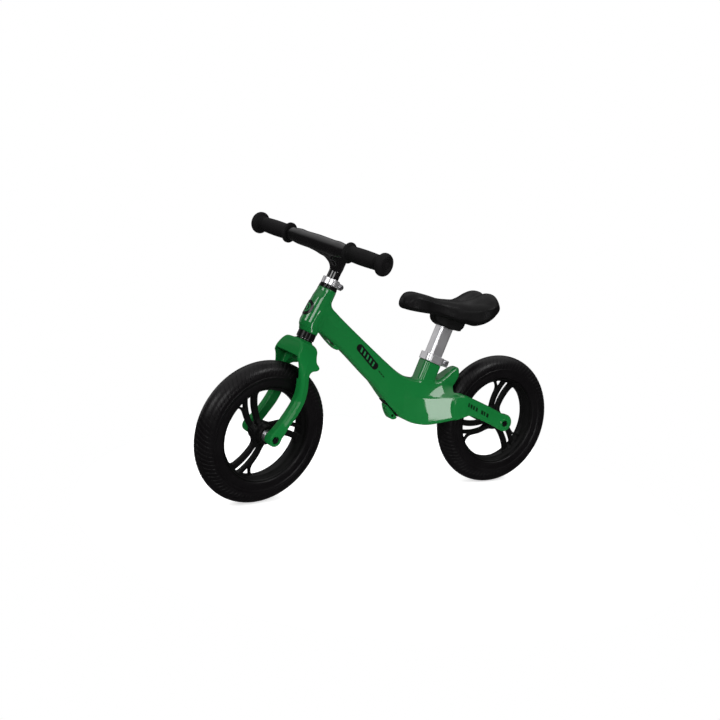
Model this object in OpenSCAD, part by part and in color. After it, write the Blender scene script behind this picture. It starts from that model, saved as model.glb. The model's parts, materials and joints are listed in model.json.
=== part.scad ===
// Balance bike: cast frame and fork, two 12 inch foam-tyred wheels, a one-piece bar and a low saddle.
// X points forward, Y to the rider's left and Z up. All sizes are in millimetres.
// The origin is on the ground, under the middle of the whole bike as it stands with its steering turned.

/* [Wheels] */
// Outer diameter of each tyre
tyre_d = 296; // [288:2:300]
// Width of each tyre
tyre_w = 46; // [40:1:48]
// Distance between the two axles
wheelbase = 576; // [560:2:600]
// Radius of the opening inside each rim
rim_inner_r = 89.5; // [84:0.5:90]
// Thickness of one spoke blade
blade_t = 11.5; // [7:0.5:14]
// Width of the slot between the two blades of a spoke
blade_gap = 14.5; // [12:0.5:15]
// How far a spoke turns on its way out to the rim, in degrees
spoke_swirl = 21; // [0:1:30]
// Direction of the first spoke of the rear wheel, in degrees
rear_spoke_angle = 110; // [0:5:355]
// Direction of the first spoke of the front wheel, in degrees
front_spoke_angle = 65; // [0:5:355]

/* [Steering] */
// Lean of the steering axis from the vertical, in degrees
head_tilt = 22.5; // [20:0.5:24]
// Distance of the front axle ahead of the steering axis
fork_offset = 2; // [0:0.5:6]
// How far the fork stands turned to the left, in degrees
fork_turn = 11; // [-30:1:30]
// How far the handlebar stands turned to the left, in degrees
bar_turn = 21; // [-30:1:30]

/* [Handlebar] */
// Overall width of the handlebar, end to end
bar_w = 356; // [320:2:400]
// How far the bar stands ahead of the steering axis
bar_reach = 80; // [70:1:90]
// Radius of a rubber grip
grip_r = 15.5; // [14:0.5:17]
// Length of a rubber grip with its flange and its end
grip_l = 99; // [80:1:105]

/* [Saddle] */
// Lean of the seat post from the vertical, in degrees
seat_tilt = 20; // [18:0.5:22]
// Length of the seat post
post_l = 160; // [150:1:162]
// How deep the seat post stands in the frame
post_insert = 70; // [60:1:74]
// Half of the saddle's greatest width
saddle_half_w = 68; // [60:1:74]

/* [Hidden] */
$fn = 64;

green = "#1a7a3c";
black = "#1b1b1d";
dark = "#26262a";
silver = "#c4c6c8";
steel = "#9a9da0";
past = 1; // how far a cut runs past the face it opens
above_all = 500; // taller than any part of the bike

wheel_r = tyre_d / 2;
rim_outer_r = 98;
tyre_inner_r = rim_outer_r + 0.2;
tyre_clear_r = wheel_r + 9;
hub_r = 22;
hub_half_w = 21;
spoke_half_w = 6;
spoke_inner_r = 16;

// Axles: a plain bar between the two sides, held by one screw at each end.
axle_r = 5;
thread_r = 3;
screw_head_r = 5.5;
bearing_r = 13;
bearing_w = 8;
bearing_bore_r = axle_r + 0.05;
side_inner_y = 31;
stay_outer_y = 47;
leg_outer_y = 52;
head_recess = 4;
recess_r = 7.5;
boss_r = 14;
stay_end_r = 19;

// Steering axis: s is the distance up the axis from the foot of the front axle.
head_x = wheelbase - fork_offset * cos(head_tilt);
head_z = wheel_r - fork_offset * sin(head_tilt);
crown_s = 202;
race_s = 205;
head_bottom_s = 219;
head_top_s = 314;
cap_s = 318.4;
clamp_s = 321.6;
steerer_top_s = 336;
steerer_r = 14.3;
steerer_bore_r = 12.7;
stem_r = 12.6;
stem_bottom_s = 240;
bearing_fit_r = steerer_r + 0.05;
cup_bore_r = 17;
head_tube_r = 19.5;
badge_r = 16;
bar_s = 384;
bar_r = 11;
bar_middle_r = 15.5;
bar_shoulder_r = 13.5;
flange_r = 20.5;
grip_end_r = 22;
bar_half = bar_w / 2;
grip_start_y = bar_half - grip_l;

// Seat axis: its origin is the middle of the socket's top face.
seat_x = 188;
seat_z = 284;
post_size = [33, 28];
post_corner_r = 6;
post_gap = 0.3;
socket_size = [43.5, 37.5];
socket_corner_r = 10.5;
collar_size = [46, 40];
socket_depth = 108;
collar_h = 17;
saddle_screw_x = 132;
saddle_screw_y = [-16, 16];
saddle_screw_z = 362;

// Accessory bracket under the body.
bracket_bore_r = 3.2;
bracket_screw_u = [20.5, 31];
bracket_x = 264.5;
bracket_z = 168.6;
bracket_lean = 44.3;

module on_bike() {
    translate([-wheelbase / 2, -bar_reach * sin(bar_turn), 0]) children();
}

module head_axis(turn = 0) {
    translate([head_x, 0, head_z]) rotate([0, -head_tilt, 0]) rotate([0, 0, turn]) children();
}

module seat_axis() {
    translate([seat_x, 0, seat_z]) rotate([0, -seat_tilt, 0]) children();
}

module rear_axis() {
    translate([0, 0, wheel_r]) rotate([90, 0, 0]) children();
}

module front_axis() {
    head_axis(fork_turn) translate([fork_offset, 0, 0]) rotate([90, 0, 0]) children();
}

// A side-view outline given as [x, z] points, as thick as y0 to y1.
module side_slab(points, y0, y1) {
    translate([0, y1, 0]) rotate([90, 0, 0]) linear_extrude(y1 - y0) polygon(points);
}

// The same, on both sides of the bike.
module both_sides(points, y0, y1) {
    side_slab(points, y0, y1);
    side_slab(points, -y1, -y0);
}

module ring(outer_r, inner_r, z0, z1) {
    translate([0, 0, z0]) difference() {
        cylinder(r = outer_r, h = z1 - z0);
        translate([0, 0, -past]) cylinder(r = inner_r, h = z1 - z0 + 2 * past);
    }
}

module round_rect(size, r) {
    square([size[0] - 2 * r, size[1]], center = true);
    square([size[0], size[1] - 2 * r], center = true);
    for (x = [-1, 1], y = [-1, 1])
        translate([x * (size[0] / 2 - r), y * (size[1] / 2 - r)]) circle(r);
}

module across(r, y0, y1) {
    translate([0, y1, 0]) rotate([90, 0, 0]) cylinder(r = r, h = y1 - y0);
}

// ---- Frame ----

// Main body seen from the side, from the head tube along the beam to the stays.
body_outline = [[440, 395], [416, 373.5], [291, 274.5], [265, 259], [241, 250.5], [222, 248],
    [178, 246], [163, 249], [148, 259], [134, 270], [122, 274], [112, 268], [98, 222],
    [98, 172], [117, 167], [155, 158], [190, 151], [213, 150], [238, 155], [266, 170],
    [307.5, 210.5], [337.5, 245.5], [349.5, 252], [428.5, 323.5], [474, 352], [492, 372], [476, 405]];

// The same body seen from above: [x, half width].
body_plan = [[520, 22], [470, 19], [430, 18], [320, 18], [260, 21], [215, 27], [165, 37],
    [120, stay_outer_y], [90, stay_outer_y]];

// And seen from the front: [z, half width]. The rear shield narrows towards its top.
body_front = [[0, 60], [222, stay_outer_y], [250, 26], [268, 21], [above_all, 21]];

// Both halves of an outline of which only the half on the left of its middle line is given.
function mirrored(half) = concat(half, [for (i = [len(half) - 1 : -1 : 0]) [half[i][0], -half[i][1]]]);

// The same points with their two values exchanged.
function upright(points) = [for (p = points) [p[1], p[0]]];

stay_outline = concat([[98, 172], [117, 167], [140, 161], [150, 200], [128, 226], [108, 220]],
    [for (a = [110 : 20 : 270]) [stay_end_r * cos(a), wheel_r + stay_end_r * sin(a)]], [[7, 132]]);

module socket_walls() {
    seat_axis() translate([0, 0, -60]) linear_extrude(60) round_rect(socket_size, socket_corner_r);
}

module post_opening() {
    round_rect([post_size[0] + 2 * post_gap, post_size[1] + 2 * post_gap], post_corner_r + post_gap);
}

module head_nose() {
    head_axis() intersection() {
        side_slab([[0, 219], [18, 219], [26.5, 240], [25, 290], [19, 313], [0, 313]], -20, 20);
        translate([0, 0, 210]) cylinder(r = 27, h = 110);
    }
    badge_seat() translate([0, 0, -8]) cylinder(r = badge_r + 1, h = 8);
}

// Slotted tab under the beam, just behind the head tube.
module beam_tab() {
    difference() {
        side_slab([[466, 356], [464, 346], [428, 314], [420, 315], [422, 326], [441, 344]], -9, 9);
        side_slab([[457, 345], [455, 342], [434, 323], [432, 326]], -12, 12);
    }
}

module axle_seats(outer_y) {
    across(thread_r + 0.2, -outer_y - past, outer_y + past);
    across(recess_r, outer_y - head_recess, outer_y + past);
    across(recess_r, -outer_y - past, -outer_y + head_recess);
}

module frame_casting() color(green) on_bike() difference() {
    union() {
        intersection() {
            side_slab(body_outline, -60, 60);
            linear_extrude(above_all) polygon(mirrored(body_plan));
            rotate([90, 0, 90]) linear_extrude(above_all) polygon(upright(mirrored(body_front)));
        }
        head_axis() translate([0, 0, head_bottom_s])
            cylinder(r = head_tube_r, h = head_top_s - head_bottom_s);
        head_nose();
        socket_walls();
        both_sides(stay_outline, side_inner_y, stay_outer_y);
        beam_tab();
    }
    head_axis() translate([0, 0, head_bottom_s - past])
        cylinder(r = cup_bore_r, h = head_top_s - head_bottom_s + 2 * past);
    seat_axis() translate([0, 0, -socket_depth]) linear_extrude(socket_depth + past) post_opening();
    rear_axis() cylinder(r = tyre_clear_r, h = 2 * side_inner_y, center = true);
    translate([0, 0, wheel_r]) axle_seats(stay_outer_y);
    bracket_frame() for (u = bracket_screw_u) translate([u, 0, -10]) cylinder(r = 1.7, h = 20);
    badge_seat() cylinder(r = badge_r + 0.3, h = 10);
}

// The badge's seat on the front of the head tube.
module badge_seat() {
    head_axis() translate([25.2, 0, 266]) rotate([0, 90, 0]) children();
}

module head_badge() color(black) on_bike() badge_seat() {
    translate([0, 0, 0.1]) cylinder(r = badge_r, h = 1.2);
    ring(badge_r, 11, 1.3, 2.1);
}

module lower_headset_cup() color(black) on_bike() head_axis() {
    ring(18.7, 16, race_s + 0.4, head_bottom_s);
    ring(cup_bore_r, 16, head_bottom_s, head_bottom_s + 12);
}

module upper_headset_cup() color(black) on_bike() head_axis() {
    ring(19, 16, head_top_s, head_top_s + 4);
    ring(cup_bore_r, 16, head_top_s - 12, head_top_s);
}

module lower_bearing() color(steel) on_bike() head_axis() ring(16, bearing_fit_r, 209, 217);

module upper_bearing() color(steel) on_bike() head_axis() ring(16, bearing_fit_r, 306, 314);

module seat_collar() color(silver) on_bike() seat_axis() difference() {
    union() {
        translate([0, 0, 0.2]) linear_extrude(collar_h) round_rect(collar_size, socket_corner_r + 1);
        translate([-40.5, -10.5, 1.8]) cube([25, 21, 15]);
    }
    translate([0, 0, -past]) linear_extrude(collar_h + 3 * past) post_opening();
    translate([-46, -1.2, -past]) cube([36, 2.4, collar_h + 3 * past]);
    translate([-32, 0, 9.3]) across(thread_r + 0.1, -20, 20);
}

module seat_collar_bolt() color(steel) on_bike() seat_axis() translate([-32, 0, 9.3]) {
    across(thread_r, -10.5, 10.5);
    across(5, 10.5, 14.5);
    across(5, -13.5, -10.5);
}

// Bracket frame: u runs along the body's lower edge from its rear end, and z points out of the body.
module bracket_frame() {
    translate([bracket_x, 0, bracket_z]) rotate([0, -bracket_lean, 0]) mirror([0, 0, 1]) children();
}

module bracket_plate() color(dark) on_bike() bracket_frame() difference() {
    translate([0, -11, 0.1]) cube([52, 22, 1.6]);
    for (u = bracket_screw_u) translate([u, 0, -past]) cylinder(r = 1.8, h = 4);
}

module stand_bracket() color(green) on_bike() bracket_frame() difference() {
    side_slab([[0, 1.8], [43, 1.8], [40, 5], [34, 8.5], [24, 12], [15, 14.5], [9, 15], [3, 13],
            [-1.5, 6]], -11, 11);
    translate([11, 0, 8.4]) across(bracket_bore_r, -20, 20);
    for (u = bracket_screw_u) translate([u, 0, 0]) {
        cylinder(r = 1.8, h = 20);
        translate([0, 0, 5]) cylinder(r = 3.4, h = 20);
    }
}

module bracket_screws() color(steel) on_bike() bracket_frame()
    for (u = bracket_screw_u) translate([u, 0, 0]) {
        translate([0, 0, -9]) cylinder(r = 1.6, h = 14);
        translate([0, 0, 5]) cylinder(r = 3, h = 2.4);
    }

// ---- Axles ----

module axle() {
    difference() {
        cylinder(r = axle_r, h = 2 * side_inner_y, center = true);
        for (m = [0, 1]) mirror([0, 0, m]) translate([0, 0, side_inner_y - 14])
            cylinder(r = thread_r + 0.05, h = 15);
    }
}

module axle_screws(outer_y) {
    for (m = [0, 1]) mirror([0, 0, m]) difference() {
        union() {
            translate([0, 0, side_inner_y - 12]) cylinder(r = thread_r, h = outer_y - side_inner_y + 9);
            translate([0, 0, outer_y - head_recess]) cylinder(r = screw_head_r, h = 4.5);
        }
        translate([0, 0, outer_y - 2]) cylinder(r = 2.9, h = 5, $fn = 6);
    }
}

module spacers() {
    for (m = [0, 1]) mirror([0, 0, m]) ring(8.5, axle_r + 0.05, hub_half_w + 0.4, side_inner_y);
}

module rear_axle() color(steel) on_bike() rear_axis() axle();

module rear_axle_screws() color(dark) on_bike() rear_axis() axle_screws(stay_outer_y);

module rear_spacers() color(silver) on_bike() rear_axis() spacers();

module front_axle() color(steel) on_bike() front_axis() axle();

module front_axle_screws() color(dark) on_bike() front_axis() axle_screws(leg_outer_y);

module front_spacers() color(silver) on_bike() front_axis() spacers();

// ---- Fork ----

// Fork seen from the side: [ahead of the steering axis, up the axis].
leg_outline = concat([[-28, 60], [-31, 88], [-27, 114], [-14, 143], [-19, 150], [-34, 158], [-35, 163],
    [-17, 173], [-20, crown_s], [22, crown_s], [27, 197], [29, 163], [22, 158], [8, 136], [-4, 110],
    [-7, 88], [-3, 60], [5, 30]],
    [for (a = [30 : -20 : -150]) [fork_offset + boss_r * cos(a), boss_r * sin(a)]], [[-14, 10], [-19, 35]]);

// Fork seen from the front, its left half: [out from the middle, up the axis].
arch_half = [[0, crown_s], [26, crown_s], [40, 190], [46, 168], [50, 145], [52, 100], [52, -20],
    [side_inner_y, -20], [side_inner_y, 130], [28, 148], [20, 159], [0, 162]];

module fork_casting() color(green) on_bike() head_axis(fork_turn) difference() {
    intersection() {
        side_slab(leg_outline, -60, 60);
        translate([-60, 0, 0]) rotate([90, 0, 90]) linear_extrude(120)
            polygon(upright(mirrored(upright(arch_half))));
    }
    translate([0, 0, 150]) cylinder(r = steerer_r + 0.1, h = 60);
    translate([fork_offset, 0, 0]) axle_seats(leg_outer_y);
}

module steerer_tube() color(steel) on_bike() head_axis(fork_turn)
    ring(steerer_r, steerer_bore_r, 172, steerer_top_s);

module crown_race() color(black) on_bike() head_axis(fork_turn)
    ring(17, steerer_r + 0.1, crown_s, race_s);

module headset_cap() color(black) on_bike() head_axis(fork_turn)
    ring(18.3, steerer_r + 0.1, cap_s, clamp_s - 0.4);

// ---- Handlebar ----

module stem_clamp() color(silver) on_bike() head_axis(bar_turn) difference() {
    union() {
        translate([0, 0, clamp_s]) cylinder(r = 18, h = 14.4);
        translate([-32, -9, clamp_s + 1]) cube([20, 18, 12.4]);
    }
    translate([0, 0, clamp_s - past]) cylinder(r = bearing_fit_r, h = 20);
    translate([-40, -1, clamp_s - past]) cube([28, 2, 20]);
    translate([-25, 0, clamp_s + 7]) across(2.6, -20, 20);
}

module stem_clamp_bolt() color(steel) on_bike() head_axis(bar_turn) translate([-25, 0, clamp_s + 7]) {
    across(2.5, -9, 9);
    across(4.5, 9, 13);
    across(4.5, -12, -9);
}

module bar_axis() {
    on_bike() head_axis(bar_turn) translate([bar_reach, 0, bar_s]) rotate([90, 0, 0]) children();
}

module handlebar() color(black) {
    on_bike() head_axis(bar_turn) {
        translate([0, 0, stem_bottom_s]) cylinder(r = stem_r, h = 102);
        translate([0, 0, 338]) cylinder(r1 = stem_r, r2 = 17, h = 20);
        hull() {
            translate([2, 0, 352]) cylinder(r = 16, h = 10, $fn = 32);
            translate([40, 0, 366]) across(11, -25, 25);
            translate([bar_reach - 12, 0, bar_s - 4]) across(12, -38, 38);
        }
    }
    bar_axis() {
        for (m = [0, 1]) mirror([0, 0, m])
            cylinder(r1 = bar_middle_r, r2 = bar_shoulder_r, h = grip_start_y - 0.2);
        cylinder(r = bar_r, h = bar_w - 16, center = true);
    }
}

module grip() {
    rotate_extrude() polygon([[bar_r + 0.1, grip_start_y], [flange_r - 2, grip_start_y],
        [flange_r, grip_start_y + 2], [flange_r, grip_start_y + 4], [flange_r - 2, grip_start_y + 6],
        [grip_r, grip_start_y + 7], [grip_r, bar_half - 16], [grip_end_r - 2, bar_half - 14],
        [grip_end_r, bar_half - 11], [grip_end_r, bar_half - 6], [grip_end_r - 3, bar_half - 2],
        [12, bar_half], [0, bar_half], [0, bar_half - 7], [bar_r + 0.1, bar_half - 7]]);
}

module left_grip() color(dark) bar_axis() mirror([0, 0, 1]) grip();

module right_grip() color(dark) bar_axis() grip();

// ---- Saddle ----

module seat_post() color(silver) on_bike() seat_axis() translate([0, 0, -post_insert]) difference() {
    linear_extrude(post_l) round_rect(post_size, post_corner_r);
    translate([0, 0, -past]) linear_extrude(post_l - 6) round_rect([post_size[0] - 5, post_size[1] - 5], 4.5);
}

module saddle_base() color(dark) on_bike() difference() {
    intersection() {
        side_slab([[195, 389.2], [194, 374], [150, 356.5], [128, 357.5], [121, 375], [123, 379],
            [150, 383.5]], -24, 24);
        linear_extrude(above_all) polygon(mirrored([[196, 11], [170, 19], [120, 24]]));
    }
    seat_axis() linear_extrude(post_l - post_insert + 0.2)
        round_rect([post_size[0] + 0.2, post_size[1] + 0.2], post_corner_r + 0.1);
    for (y = saddle_screw_y) translate([saddle_screw_x, y, 0]) {
        translate([0, 0, saddle_screw_z - 20]) cylinder(r = 3.7, h = 23.1);
        translate([0, 0, saddle_screw_z]) cylinder(r = 2, h = 40);
    }
}

// The cushion seen from the side.
cushion_outline = [[279, 411], [277, 423], [267, 432], [250, 436.5], [220, 431], [190, 423.5],
    [160, 420.5], [130, 419.5], [110, 423.5], [90, 431], [75, 437], [60, 435.5], [50, 426], [46.5, 414], [52, 405],
    [62, 397], [76, 388], [92, 379], [107, 374.5], [119, 374], [120.5, 379.8], [150, 384], [200, 390.5],
    [262, 398], [275, 402]];

// The cushion seen from above: [x, half width as a share of the greatest].
cushion_plan = [[279, 0.09], [274, 0.22], [262, 0.34], [240, 0.38], [205, 0.38], [170, 0.44],
    [145, 0.59], [125, 0.79], [105, 0.94], [85, 1], [66, 0.94], [53, 0.74], [46, 0.44]];

module saddle_cushion() color(black) on_bike() intersection() {
    side_slab(cushion_outline, -80, 80);
    linear_extrude(above_all) polygon(mirrored([for (p = cushion_plan) [p[0], p[1] * saddle_half_w]]));
}

module saddle_screws() color(steel) on_bike()
    for (y = saddle_screw_y) translate([saddle_screw_x, y, saddle_screw_z]) {
        cylinder(r = 3.5, h = 3);
        cylinder(r = 1.8, h = 17);
    }

// ---- Wheels ----

// A point r from the hub along a spoke whose inner end points at a, set off sideways by d.
function spoke_point(r, a, d) =
    let (t = a + spoke_swirl * (r - spoke_inner_r) / (rim_inner_r - spoke_inner_r))
    [r * cos(t) - d * sin(t), r * sin(t) + d * cos(t)];

module blade(a, d) {
    steps = [spoke_inner_r : 8 : rim_inner_r + 4];
    outward = [for (r = steps) spoke_point(r, a, d + blade_t / 2)];
    inward = [for (r = steps) spoke_point(r, a, d - blade_t / 2)];
    polygon(concat(outward, [for (i = [len(inward) - 1 : -1 : 0]) inward[i]]));
}

module rim(angle) {
    shift = (blade_gap + blade_t) / 2;
    difference() {
        union() {
            rotate_extrude() polygon([[rim_inner_r, -7], [rim_inner_r + 2.5, -11], [95.5, -16], [96.3, -21],
                [rim_outer_r, -21], [rim_outer_r, 21], [96.3, 21], [95.5, 16], [rim_inner_r + 2.5, 11],
                [rim_inner_r, 7]]);
            linear_extrude(2 * spoke_half_w, center = true) for (i = [0 : 2], side = [-1, 1])
                blade(angle - spoke_swirl + 120 * i, side * shift);
            cylinder(r = hub_r, h = 2 * hub_half_w, center = true);
        }
        cylinder(r = axle_r + 4, h = 3 * hub_half_w, center = true);
        for (m = [0, 1]) mirror([0, 0, m]) translate([0, 0, hub_half_w - bearing_w])
            cylinder(r = bearing_r, h = 20);
    }
}

module tyre() {
    half = tyre_w / 2;
    depth = wheel_r - 125;
    rotate_extrude() polygon(concat([[tyre_inner_r, -20.5], [100, -21.5], [108, -22.5]],
        [for (a = [-90 : 10 : 90]) [125 + depth * cos(a), half * sin(a)]],
        [[108, 22.5], [100, 21.5], [tyre_inner_r, 20.5]]));
}

module hub_bearing(side) {
    mirror([0, 0, side]) ring(bearing_r, bearing_bore_r, hub_half_w - bearing_w, hub_half_w);
}

module hub_sleeve() {
    ring(axle_r + 2, axle_r + 0.1, -hub_half_w + bearing_w + 0.4, hub_half_w - bearing_w - 0.4);
}

module rear_tyre() color(black) on_bike() rear_axis() tyre();

module rear_rim() color(dark) on_bike() rear_axis() rim(rear_spoke_angle);

module rear_left_bearing() color(steel) on_bike() rear_axis() hub_bearing(1);

module rear_right_bearing() color(steel) on_bike() rear_axis() hub_bearing(0);

module rear_hub_sleeve() color(steel) on_bike() rear_axis() hub_sleeve();

module front_tyre() color(black) on_bike() front_axis() tyre();

module front_rim() color(dark) on_bike() front_axis() rim(front_spoke_angle - head_tilt);

module front_left_bearing() color(steel) on_bike() front_axis() hub_bearing(1);

module front_right_bearing() color(steel) on_bike() front_axis() hub_bearing(0);

module front_hub_sleeve() color(steel) on_bike() front_axis() hub_sleeve();

frame_casting();
head_badge();
lower_headset_cup();
upper_headset_cup();
lower_bearing();
upper_bearing();
seat_collar();
seat_collar_bolt();
stand_bracket();
bracket_plate();
bracket_screws();
rear_axle();
rear_axle_screws();
rear_spacers();
fork_casting();
steerer_tube();
crown_race();
headset_cap();
front_axle();
front_axle_screws();
front_spacers();
stem_clamp();
stem_clamp_bolt();
handlebar();
left_grip();
right_grip();
seat_post();
saddle_base();
saddle_cushion();
saddle_screws();
rear_tyre();
rear_rim();
rear_left_bearing();
rear_right_bearing();
rear_hub_sleeve();
front_tyre();
front_rim();
front_left_bearing();
front_right_bearing();
front_hub_sleeve();
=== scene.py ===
"""Balance bike: the castings, wheels, grips and saddle are built here as finer pieces over the CAD frame."""
import json
import math

import bmesh
import bpy
import numpy as np
from mathutils import Matrix, Vector
from mathutils.bvhtree import BVHTree


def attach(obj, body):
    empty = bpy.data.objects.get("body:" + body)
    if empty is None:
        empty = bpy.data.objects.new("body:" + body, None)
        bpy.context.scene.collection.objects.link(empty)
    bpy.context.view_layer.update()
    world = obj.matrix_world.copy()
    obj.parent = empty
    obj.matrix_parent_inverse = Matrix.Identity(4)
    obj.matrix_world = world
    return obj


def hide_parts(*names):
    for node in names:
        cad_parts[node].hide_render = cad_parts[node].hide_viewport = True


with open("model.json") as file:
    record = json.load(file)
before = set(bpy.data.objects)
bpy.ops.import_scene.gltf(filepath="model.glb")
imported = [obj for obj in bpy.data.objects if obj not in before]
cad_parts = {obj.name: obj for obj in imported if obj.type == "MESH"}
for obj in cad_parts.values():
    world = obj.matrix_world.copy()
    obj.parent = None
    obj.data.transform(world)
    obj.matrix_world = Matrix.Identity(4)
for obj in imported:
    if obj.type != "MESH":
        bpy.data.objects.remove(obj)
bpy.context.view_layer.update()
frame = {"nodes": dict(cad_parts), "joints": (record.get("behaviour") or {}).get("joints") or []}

MM = 0.001
JOINTS = {j["name"]: j for j in frame["joints"]}


# ---------------------------------------------------------------- places, from the frame's joints

def column(v):
    return np.array(v, float)


def place(origin, x, y, z):
    """4x4 matrix from a local frame in millimetres to the row frame in metres."""
    m = np.eye(4)
    m[:3, 0], m[:3, 1], m[:3, 2] = column(x) * MM, column(y) * MM, column(z) * MM
    m[:3, 3] = origin
    return m


def turned(v, axis, angle):
    return column(Matrix.Rotation(angle, 3, Vector(axis)) @ Vector(v))


LEFT = column([0, 1, 0])
REAR_HUB = column(JOINTS["rear_wheel_spin"]["pos_m"])
FRONT_HUB = column(JOINTS["front_wheel_spin"]["pos_m"])
FRONT_SPIN = column(JOINTS["front_wheel_spin"]["axis"])
STEER = column(JOINTS["steering"]["axis"])
SEAT_UP = column(JOINTS["saddle_height"]["axis"])
WHEEL_R = 148.0
FORK_OFFSET = 2.0
BAR_REACH, BAR_S = 80.0, 384.0
BAR_TWIST = math.radians(10)  # how much further the bar stands turned than the fork

FORK_AHEAD = np.cross(FRONT_SPIN, STEER)
FOOT = FRONT_HUB - FORK_AHEAD * FORK_OFFSET * MM
BAR_LEFT = turned(FRONT_SPIN, STEER, BAR_TWIST)

BIKE = place(REAR_HUB - column([0, 0, WHEEL_R * MM]), [1, 0, 0], LEFT, [0, 0, 1])
HEAD = place(FOOT, np.cross(LEFT, STEER), LEFT, STEER)
FORK = place(FOOT, FORK_AHEAD, FRONT_SPIN, STEER)
BAR = place(FOOT, np.cross(BAR_LEFT, STEER), BAR_LEFT, STEER)
SEAT_TOP = [188.0, 0.0, 284.0]
SEAT = place(BIKE[:3, :3] @ SEAT_TOP + BIKE[:3, 3], np.cross(LEFT, SEAT_UP), LEFT, SEAT_UP)
REAR_WHEEL = place(REAR_HUB, [1, 0, 0], LEFT, [0, 0, 1])
HEAD_TILT = math.atan2(-STEER[0], STEER[2])
FRONT_WHEEL = place(FRONT_HUB, FORK_AHEAD, FRONT_SPIN, STEER)


def to_row(points, m):
    return points @ m[:3, :3].T + m[:3, 3]


def between(a, b):
    """4x4 matrix from local frame a to local frame b, both in millimetres."""
    return np.linalg.inv(b) @ a


# ---------------------------------------------------------------- distance fields, in millimetres

def smooth_min(a, b, k):
    h = np.clip(0.5 + 0.5 * (b - a) / k, 0, 1)
    return b * (1 - h) + a * h - k * h * (1 - h)


def smooth_max(a, b, k):
    return -smooth_min(-a, -b, k)


def ramp(v, start, end):
    """0 at start, 1 at end, and flat beyond both."""
    return np.clip((v - start) / (end - start), 0, 1)


def band(v, low, high):
    """Distance past the ends of the span from low to high."""
    return np.abs(v - (low + high) / 2) - (high - low) / 2


def rounded_pair(a, b, r):
    """The overlap of two distances with an edge of radius r."""
    a, b = a + r, b + r
    return np.hypot(np.maximum(a, 0), np.maximum(b, 0)) + np.minimum(np.maximum(a, b), 0) - r


def rounded_rect(u, y, half, r):
    return rounded_pair(np.abs(u) - half[0], np.abs(y) - half[1], r)


def rounded_box(x, y, z, centre, half, r):
    q = [np.abs(v - c) - h + r for v, c, h in zip((x, y, z), centre, half)]
    out = np.sqrt(sum(np.maximum(v, 0) ** 2 for v in q))
    return out + np.minimum(np.maximum(np.maximum(q[0], q[1]), q[2]), 0) - r


def rod(x, y, z, a, b, ra, rb):
    """A round bar from a to b whose radius runs from ra to rb."""
    a, b = np.array(a, float), np.array(b, float)
    e = b - a
    t = np.clip(((x - a[0]) * e[0] + (y - a[1]) * e[1] + (z - a[2]) * e[2]) / (e @ e), 0, 1)
    away = np.sqrt((x - a[0] - t * e[0]) ** 2 + (y - a[1] - t * e[1]) ** 2 + (z - a[2] - t * e[2]) ** 2)
    return away - (ra + t * (rb - ra))


def soften(points, rounds=2):
    """Cuts the corners of a closed outline so that it runs in curves."""
    p = np.array(points, float)
    for _ in range(rounds):
        q = np.roll(p, -1, axis=0)
        p = np.stack([0.75 * p + 0.25 * q, 0.25 * p + 0.75 * q], 1).reshape(-1, 2)
    return p


LAST_CELL = 1.001  # how far inside the last grid line a lookup stays


class Outline:
    """Signed distance to a closed 2D outline with its corners cut, looked up on a fine grid."""

    def __init__(self, points, margin=14.0, step=0.8):
        p = soften(points)
        self.low = p.min(0) - margin
        self.step = step
        self.n = n = np.ceil((p.max(0) + margin - self.low) / step).astype(int) + 1
        x = self.low[0] + step * np.arange(n[0])[:, None]
        y = self.low[1] + step * np.arange(n[1])[None, :]
        best = np.full((n[0], n[1]), np.inf)
        inside = np.zeros((n[0], n[1]), bool)
        for a, b in zip(p, np.roll(p, -1, axis=0)):
            e = b - a
            t = np.clip(((x - a[0]) * e[0] + (y - a[1]) * e[1]) / (e @ e), 0, 1)
            best = np.minimum(best, (x - a[0] - t * e[0]) ** 2 + (y - a[1] - t * e[1]) ** 2)
            if a[1] != b[1]:
                spans = (a[1] > y) != (b[1] > y)
                inside ^= spans & (x < a[0] + (y - a[1]) * e[0] / e[1])
        self.d = np.sqrt(best) * np.where(inside, -1, 1)

    def __call__(self, x, y):
        u = (x - self.low[0]) / self.step
        v = (y - self.low[1]) / self.step
        cu, cv = np.clip(u, 0, self.n[0] - LAST_CELL), np.clip(v, 0, self.n[1] - LAST_CELL)
        i, j = cu.astype(int), cv.astype(int)
        fu, fv = cu - i, cv - j
        d = self.d
        low = d[i, j] * (1 - fu) + d[i + 1, j] * fu
        high = d[i, j + 1] * (1 - fu) + d[i + 1, j + 1] * fu
        return low * (1 - fv) + high * fv + np.hypot(u - cu, v - cv) * self.step


# Shares of a grid step: the reach over which a slope is taken for the pull and for the normals, and the
# longest pull.
PULL_REACH, NORMAL_REACH, LONGEST_PULL = 0.15, 0.6, 0.5
LEAST_SLOPE, TINY = 0.05, 1e-6


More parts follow.
